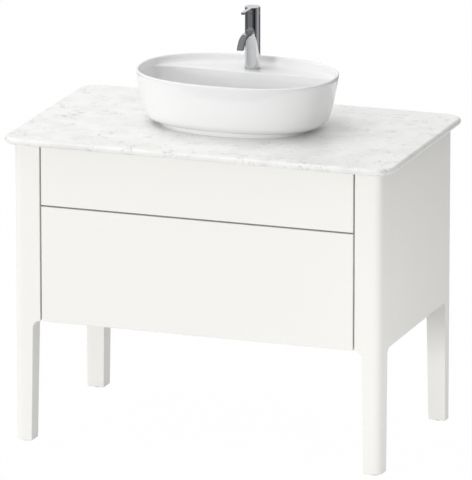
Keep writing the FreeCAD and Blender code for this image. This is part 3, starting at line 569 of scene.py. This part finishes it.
    def under_line(self, step, drain_edge):
        """Points from the drain hole under the floor, and through the ledge's hollow, to the foot."""
        foot = self.foot_point(step, self.foot_width, self.under)
        front = self.ledge_edge + self.wall
        behind = foot.y - self.middle.y
        if behind > front + self.hollow_margin:
            top = self.ledge - self.ledge_thickness
            start = Vector((self.middle.x, self.middle.y, self.under)).lerp(foot, front / behind)
            roof = self.inside(step, top)
            line = [start, Vector((start.x, start.y, top)), roof, foot]
        else:
            line = [drain_edge.lerp(foot, share) for share in self.under_shares]
        line.append(self.foot_point(step, self.foot_width, self.foot))
        return line

    def rings(self):
        """Rings of points from the foot over the rim, down the bowl and back under the floor."""
        lines = []
        for step in range(self.steps):
            line = self.outside_line(step) + self.inside_line(step)
            lines.append(line + self.under_line(step, line[-1]))
        return list(zip(*lines))

    def bed_rings(self, low, high):
        """Rings of the silicone bed under the foot, with a small bead round its outside."""
        profile = (
            (-self.bead, low), (-self.bead_swell * self.bead, (low + high) / 2), (0.0, high),
            (self.foot_width, high), (self.foot_width, low),
        )
        return [
            [self.foot_point(step, inset, level) for step in range(self.steps)]
            for inset, level in profile
        ]


def close_gaps(mesh):
    """Fills openings that a cut has left in a closed skin."""
    form = bmesh.new()
    form.from_mesh(mesh)
    bmesh.ops.holes_fill(form, edges=[edge for edge in form.edges if edge.is_boundary], sides=0)
    bmesh.ops.recalc_face_normals(form, faces=form.faces)
    form.to_mesh(mesh)
    form.free()


def drill(piece, centre, radius, half_length, segments=48):
    """Cuts an upright round hole through a piece."""
    form = bmesh.new()
    bmesh.ops.create_cone(
        form, cap_ends=True, segments=segments, radius1=radius, radius2=radius, depth=2 * half_length,
        matrix=Matrix.Translation(centre)
    )
    mesh = bpy.data.meshes.new("hole")
    form.to_mesh(mesh)
    form.free()
    tool = bpy.data.objects.new("hole", mesh)
    bpy.context.scene.collection.objects.link(tool)
    cut = piece.modifiers.new("hole", "BOOLEAN")
    cut.object = tool
    cut.solver = "EXACT"
    bpy.context.view_layer.update()
    made = bpy.data.meshes.new_from_object(piece.evaluated_get(bpy.context.evaluated_depsgraph_get()))
    close_gaps(made)
    piece.modifiers.remove(cut)
    old = piece.data
    made.name = old.name + "_drilled"
    piece.data = made
    bpy.data.objects.remove(tool)
    bpy.data.meshes.remove(mesh)
    bpy.data.meshes.remove(old)


class VANITY_OT_cabinet(bpy.types.Operator):
    """Finish the posts, panels, rails, dowels, glides and wall spacers"""

    bl_idname = "vanity.cabinet"
    bl_label = "Cabinet"

    def execute(self, context):
        colours = context.scene.vanity_colours
        paint = satin_lacquer(colours.paint)
        dress(
            [
                "front_left_post", "front_right_post", "rear_left_post", "rear_right_post",
                "left_side_panel", "right_side_panel", "upper_drawer_front", "lower_drawer_front",
            ],
            paint,
        )
        board = melamine_board(colours.board)
        drawer_boards = [
            name for name in NODES
            if name.startswith(("upper_drawer_", "lower_drawer_")) and not name.endswith("_front")
        ]
        drawer_boards.append("upper_drawer_recess_front")
        dress(["bottom_panel", "front_top_rail", "rear_top_rail", "rear_bottom_rail", *drawer_boards], board)
        dress(["frame_dowels"], bare_beech())
        dress(["leg_glides"], moulded_plastic("black_moulded_plastic", "#2A2A2B", 0.5))
        dress(["wall_spacers"], moulded_plastic("white_spacer_plastic", "#E6E6E2", 0.4))
        return {"FINISHED"}


class VANITY_OT_stone_top(bpy.types.Operator):
    """Finish the stone top"""

    bl_idname = "vanity.stone_top"
    bl_label = "Stone top"

    def execute(self, context):
        colours = context.scene.vanity_colours
        dress(["stone_top"], honed_stone(colours.stone, colours.stone_fleck))
        return {"FINISHED"}


class VANITY_OT_basin(bpy.types.Operator):
    """Finish the basin and its sealing bed"""

    bl_idname = "vanity.basin"
    bl_label = "Basin"

    def execute(self, context):
        glaze = kiln_glaze(context.scene.vanity_colours.glaze)
        dress(["basin"], glaze)
        form = BasinForm()
        skin = ring_mesh("glazed_basin", form.rings())
        piece = new_piece("glazed_basin", skin, glaze, "cabinet")
        ring_low, ring_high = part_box("mixer_base_ring")
        tap = (ring_low + ring_high) / 2
        tap.z = form.ledge
        drill(piece, tap, form.tap_radius, form.tap_cut_share * form.ledge_thickness)
        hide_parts("basin")
        silicone = moulded_plastic("pale_silicone", "#E2E2DE", 0.4)
        dress(["basin_seal", "waste_seals"], silicone)
        bed_low, bed_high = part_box("basin_seal")
        bed_skin = ring_mesh("silicone_bed", form.bed_rings(bed_low.z, bed_high.z))
        bed = new_piece("silicone_bed", bed_skin, silicone, "cabinet")
        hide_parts("basin_seal")
        return {"FINISHED"}


class VANITY_OT_mixer(bpy.types.Operator):
    """Finish the mixer and the pieces inside it"""

    bl_idname = "vanity.mixer"
    bl_label = "Mixer"

    def execute(self, context):
        chrome = chrome_plate(context.scene.vanity_colours.chrome)
        dress(["mixer_body", "mixer_lever", "mixer_base_ring", "waste_cover", "waste_body"], chrome)
        dress(["mixer_aerator"], moulded_plastic("dark_aerator_plastic", "#3A3B3C", 0.45))
        dress(["mixer_cartridge", "mixer_rotor"], moulded_plastic("cartridge_plastic", "#D9D9D4", 0.35))
        dress(["cartridge_retaining_ring", "mixer_clamp_nut"], turned_brass())
        return {"FINISHED"}


class VANITY_OT_waste(bpy.types.Operator):
    """Finish the lock nut and the trap"""

    bl_idname = "vanity.waste"
    bl_label = "Waste and trap"

    def execute(self, context):
        dress(
            [
                "waste_lock_nut", "trap_dip_tube", "trap_head",
                "trap_cup", "trap_union_nuts", "trap_outlet_pipe",
            ],
            moulded_plastic("white_trap_plastic", "#ECECE8", 0.3),
        )
        return {"FINISHED"}


class VANITY_OT_runners(bpy.types.Operator):
    """Finish the runners, screws and other steel pieces"""

    bl_idname = "vanity.runners"
    bl_label = "Runners and screws"

    def execute(self, context):
        steel = [name for name in NODES if "_runner_" in name or name.endswith("_front_screws")]
        steel += [
            "mixer_pivot_pin", "lever_spindle", "lever_grub_screw", "mixer_fixing_stud", "mixer_clamp_plate"
        ]
        dress(steel, zinc_plate())
        return {"FINISHED"}


# Studio: sizes in metres, lamp powers in watts
WORLD_LIGHT = 0.66
FLOOR_SIZE = 60.0
FLOOR_COLOUR = "#CFCFCF"
# Share of the floor that shows as plain white; the rest keeps the shadow
FLOOR_WHITE = 0.99
CEILING_RADIUS = 7.0
CEILING_HEIGHT = 5.0
CEILING_COLOUR = "#8E8F92"
CEILING_STEPS = 48
CARD_STEPS = 24
# Camera: height of its sensor in millimetres, and how far it sees
SENSOR_HEIGHT = 36.0
VIEW_END = 100.0

# Lamps: name, place, aim, width, power
LAMPS = (
    ("front_lamp", (-4.0, -9.5, 2.0), (0.0, 0.0, 0.6), 2.4, 420.0),
    ("rear_lamp", (-2.5, 9.5, 1.4), (0.0, 0.0, 0.5), 2.4, 190.0),
    ("top_lamp", (-1.4, 0.1, 4.0), (0.0, 0.0, 0.8), 3.0, 62.0),
    ("low_lamp", (1.3, -0.8, 0.1), (0.45, -0.2, 0.12), 0.4, 2.6),
)

# Edges of the mirror cards as radius and height: along the floor, low on the walls, high on the walls
FLOOR_CARD = ((0.9, 0.002), (3.0, 0.002))
LOW_CARD = ((3.0, 0.0), (3.0, 0.7))
HIGH_CARD = ((3.0, 0.7), (3.0, 3.3))

# Mirror cards: name, first and last degree to the right of the view, edges, colour
CARDS = (
    ("left_grey_card", -150, -104, LOW_CARD, "#6A6A6C"),
    ("left_dark_card", -104, -84, LOW_CARD, "#3E3E40"),
    ("front_grey_card", -84, -4, LOW_CARD, "#76777A"),
    ("front_dark_card", -4, 18, LOW_CARD, "#4A4A4C"),
    ("front_black_card", 18, 38, LOW_CARD, "#141415"),
    ("right_dark_card", 38, 64, LOW_CARD, "#5A5A5C"),
    ("right_pale_card", 64, 106, LOW_CARD, "#A6A7A9"),
    ("right_grey_card", 106, 130, LOW_CARD, "#6C6C6E"),
    ("rear_grey_card", 130, 160, LOW_CARD, "#5E5E60"),
    ("front_high_card", -84, 38, HIGH_CARD, "#8E8F92"),
    ("right_high_card", 38, 160, HIGH_CARD, "#737476"),
    ("rear_high_card", 160, 210, HIGH_CARD, "#E4E4E5"),
    ("left_high_card", 210, 276, HIGH_CARD, "#737476"),
    ("front_floor_card", -84, 64, FLOOR_CARD, "#76777A"),
)


def seen_background(tree):
    """Share of rays that see the plain white background: camera, mirror and see-through rays."""
    path = add_node(tree, "ShaderNodeLightPath")
    first = add_node(
        tree, "ShaderNodeMath",
        {0: path.outputs["Is Camera Ray"], 1: path.outputs["Is Glossy Ray"]}, operation="MAXIMUM"
    )
    return add_node(
        tree, "ShaderNodeMath",
        {0: first.outputs["Value"], 1: path.outputs["Is Transmission Ray"]}, operation="MAXIMUM"
    ).outputs["Value"]


def white_world():
    """World that lights softly and shows plain white."""
    world = bpy.data.worlds.new("white_studio")
    world.use_nodes = True
    tree = world.node_tree
    tree.nodes.clear()
    light = add_node(tree, "ShaderNodeBackground", {"Color": (1.0, 1.0, 1.0, 1.0), "Strength": WORLD_LIGHT})
    white = add_node(tree, "ShaderNodeBackground", {"Color": (1.0, 1.0, 1.0, 1.0), "Strength": 1.0})
    mix = add_node(
        tree, "ShaderNodeMixShader",
        {0: seen_background(tree), 1: light.outputs["Background"], 2: white.outputs["Background"]}
    )
    add_node(tree, "ShaderNodeOutputWorld", {"Surface": mix.outputs["Shader"]})
    bpy.context.scene.world = world


def studio_floor():
    """Pale floor that shows as white and keeps a faint shadow."""
    material, tree = new_material("white_studio_floor")
    matt = add_node(tree, "ShaderNodeBsdfDiffuse", {"Color": linear(FLOOR_COLOUR)})
    glow = add_node(tree, "ShaderNodeEmission", {"Color": (1.0, 1.0, 1.0, 1.0), "Strength": 1.0})
    share = add_node(
        tree, "ShaderNodeMath", {0: seen_background(tree), 1: FLOOR_WHITE}, operation="MULTIPLY"
    )
    mix = add_node(
        tree, "ShaderNodeMixShader",
        {0: share.outputs["Value"], 1: matt.outputs["BSDF"], 2: glow.outputs["Emission"]}
    )
    add_node(tree, "ShaderNodeOutputMaterial", {"Surface": mix.outputs["Shader"]})
    half = FLOOR_SIZE / 2
    mesh = bpy.data.meshes.new("studio_floor")
    mesh.from_pydata(
        [(-half, -half, 0), (half, -half, 0), (half, half, 0), (-half, half, 0)], [], [(0, 1, 2, 3)]
    )
    mesh.materials.append(material)
    floor = bpy.data.objects.new("studio_floor", mesh)
    bpy.context.scene.collection.objects.link(floor)


def glowing_colour(name, hex_code):
    """Plain glow for a card: the colour that a mirror shows of it."""
    material, tree = new_material(name)
    glow = add_node(tree, "ShaderNodeEmission", {"Color": linear(hex_code), "Strength": 1.0})
    add_node(tree, "ShaderNodeOutputMaterial", {"Surface": glow.outputs["Emission"]})
    return material


def mirror_only(card):
    """Adds a card to the stage that only shiny surfaces see."""
    card.visible_camera = False
    card.visible_diffuse = False
    card.visible_shadow = False
    card.visible_transmission = False
    bpy.context.scene.collection.objects.link(card)


def studio_card(name, start, end, edges, hex_code):
    """Curved card round the unit that only mirrors see, between two angles and two edges."""
    angles = [math.radians(start + (end - start) * step / CARD_STEPS) for step in range(CARD_STEPS + 1)]
    places = [
        (radius * math.sin(angle), -radius * math.cos(angle), height)
        for radius, height in edges for angle in angles
    ]
    row = CARD_STEPS + 1
    mesh = bpy.data.meshes.new(name)
    mesh.from_pydata(
        places, [], [(step, step + 1, step + row + 1, step + row) for step in range(CARD_STEPS)]
    )
    mesh.materials.append(glowing_colour(name, hex_code))
    mirror_only(bpy.data.objects.new(name, mesh))


def studio_ceiling():
    """Round grey ceiling that only mirrors see."""
    angles = [math.tau * step / CEILING_STEPS for step in range(CEILING_STEPS)]
    mesh = bpy.data.meshes.new("studio_ceiling")
    mesh.from_pydata(
        [(CEILING_RADIUS * math.cos(a), CEILING_RADIUS * math.sin(a), CEILING_HEIGHT) for a in angles],
        [], [tuple(range(CEILING_STEPS))]
    )
    mesh.materials.append(glowing_colour("studio_ceiling", CEILING_COLOUR))
    mirror_only(bpy.data.objects.new("studio_ceiling", mesh))


def area_lamp(name, place, target, size, power):
    """Square soft lamp aimed at a point, not mirrored in shiny surfaces."""
    lamp = bpy.data.lights.new(name, "AREA")
    lamp.shape = "SQUARE"
    lamp.size = size
    lamp.energy = power
    holder = bpy.data.objects.new(name, lamp)
    holder.location = place
    holder.rotation_euler = (Vector(target) - Vector(place)).to_track_quat("-Z", "Y").to_euler()
    holder.visible_glossy = False
    bpy.context.scene.collection.objects.link(holder)


def photo_camera(sizes):
    """Camera at the photograph's viewing angle."""
    lens = bpy.data.cameras.new("photo_camera")
    lens.sensor_fit = "VERTICAL"
    lens.sensor_height = SENSOR_HEIGHT
    lens.lens = sizes.view_lens
    lens.clip_end = VIEW_END
    camera = bpy.data.objects.new("photo_camera", lens)
    level = math.cos(sizes.view_elevation)
    outward = Vector((
        level * math.sin(sizes.view_azimuth),
        -level * math.cos(sizes.view_azimuth),
        math.sin(sizes.view_elevation),
    ))
    target = Vector(sizes.view_target)
    camera.location = target + outward * sizes.view_distance
    camera.rotation_euler = (-outward).to_track_quat("-Z", "Y").to_euler()
    bpy.context.scene.collection.objects.link(camera)
    bpy.context.scene.camera = camera


class VANITY_OT_stage(bpy.types.Operator):
    """Add the floor, lamps, white surroundings and camera"""

    bl_idname = "vanity.stage"
    bl_label = "Stage"

    def execute(self, context):
        scene = context.scene
        scene.view_settings.view_transform = "Standard"
        white_world()
        studio_floor()
        for lamp in LAMPS:
            area_lamp(*lamp)
        view = math.degrees(scene.vanity_sizes.view_azimuth)
        for name, start, end, edges, hex_code in CARDS:
            studio_card(name, view + start, view + end, edges, hex_code)
        studio_ceiling()
        photo_camera(scene.vanity_sizes)
        return {"FINISHED"}


OPERATORS = (
    VANITY_OT_cabinet, VANITY_OT_stone_top, VANITY_OT_basin, VANITY_OT_mixer,
    VANITY_OT_waste, VANITY_OT_runners, VANITY_OT_stage,
)


class VANITY_PT_panel(bpy.types.Panel):
    """Lists the steps that dress the vanity unit"""

    bl_idname = "VANITY_PT_panel"
    bl_label = "Vanity unit"
    bl_space_type = "VIEW_3D"
    bl_region_type = "UI"
    bl_category = "Vanity"

    def draw(self, context):
        for operator in OPERATORS:
            self.layout.operator(operator.bl_idname)
        for group in (context.scene.vanity_colours, context.scene.vanity_sizes):
            for name in group.__annotations__:
                self.layout.prop(group, name)


CLASSES = (VanityColours, VanitySizes, *OPERATORS, VANITY_PT_panel)


def register():
    """Registers the classes and the scene's settings."""
    for cls in CLASSES:
        bpy.utils.register_class(cls)
    bpy.types.Scene.vanity_colours = bpy.props.PointerProperty(type=VanityColours)
    bpy.types.Scene.vanity_sizes = bpy.props.PointerProperty(type=VanitySizes)


def unregister():
    """Removes the scene's settings and the classes."""
    del bpy.types.Scene.vanity_sizes
    del bpy.types.Scene.vanity_colours
    for cls in reversed(CLASSES):
        bpy.utils.unregister_class(cls)


def main():
    register()
    bpy.ops.vanity.cabinet()
    bpy.ops.vanity.stone_top()
    bpy.ops.vanity.basin()
    bpy.ops.vanity.mixer()
    bpy.ops.vanity.waste()
    bpy.ops.vanity.runners()
    bpy.ops.vanity.stage()


if __name__ == "__main__":
    main()
